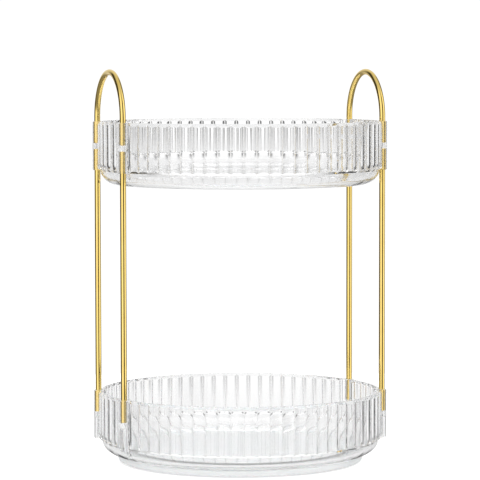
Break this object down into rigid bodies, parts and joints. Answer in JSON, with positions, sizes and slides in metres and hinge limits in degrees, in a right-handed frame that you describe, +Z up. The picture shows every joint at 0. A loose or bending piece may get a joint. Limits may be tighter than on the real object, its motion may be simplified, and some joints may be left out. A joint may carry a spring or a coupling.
{
  "type": "rotating makeup organizer",
  "caption": "Round clear trays with ribbed walls, one above the other on upright gold rods with arched handles, turning on a low white base.",
  "frame": {"origin": "on the turning axis, at the plane that the foot pads stand on", "axes": "+Z up along the turning axis; the handle arches stand at -X and +X; -Y is the front"},
  "size_m": [0.227, 0.227, 0.3132],
  "materials": {
    "clear_plastic": "clear, polished",
    "gold_plating": "polished light gold plating",
    "white_plastic": "white, satin",
    "foot_rubber": "matt",
    "zinc_steel": "zinc plated",
    "bearing_steel": "ground and polished",
    "natural_nylon": "natural, matt"
  },
  "bodies": {
    "base": {"base_dish": "white_plastic", "foot_pad_1": "foot_rubber", "foot_pad_2": "foot_rubber", "foot_pad_3": "foot_rubber", "foot_pad_4": "foot_rubber", "foot_pad_5": "foot_rubber", "foot_pad_6": "foot_rubber", "lower_race": "zinc_steel"},
    "cage": {"ball_cage": "natural_nylon", "bearing_balls": "bearing_steel"},
    "tower": {"turning_plate": "white_plastic", "upper_race": "zinc_steel", "pivot_washer": "zinc_steel", "pivot_screw": "zinc_steel", "lower_tray": "clear_plastic", "upper_tray": "clear_plastic", "rod_front_left": "gold_plating", "rod_rear_left": "gold_plating", "rod_front_right": "gold_plating", "rod_rear_right": "gold_plating", "arch_left": "gold_plating", "arch_right": "gold_plating"}
  },
  "joints": [
    {"name": "tower_spin", "type": "hinge", "parent": "base", "child": "tower", "pos_m": [0, 0, 0.005], "axis": [0, 0, 1], "continuous": true},
    {"name": "cage_spin", "type": "hinge", "parent": "base", "child": "cage", "pos_m": [0, 0, 0.004], "axis": [0, 0, 1], "continuous": true}
  ],
  "couplings": [
    {"joint": "cage_spin", "follows": "tower_spin", "ratio": 0.5}
  ]
}
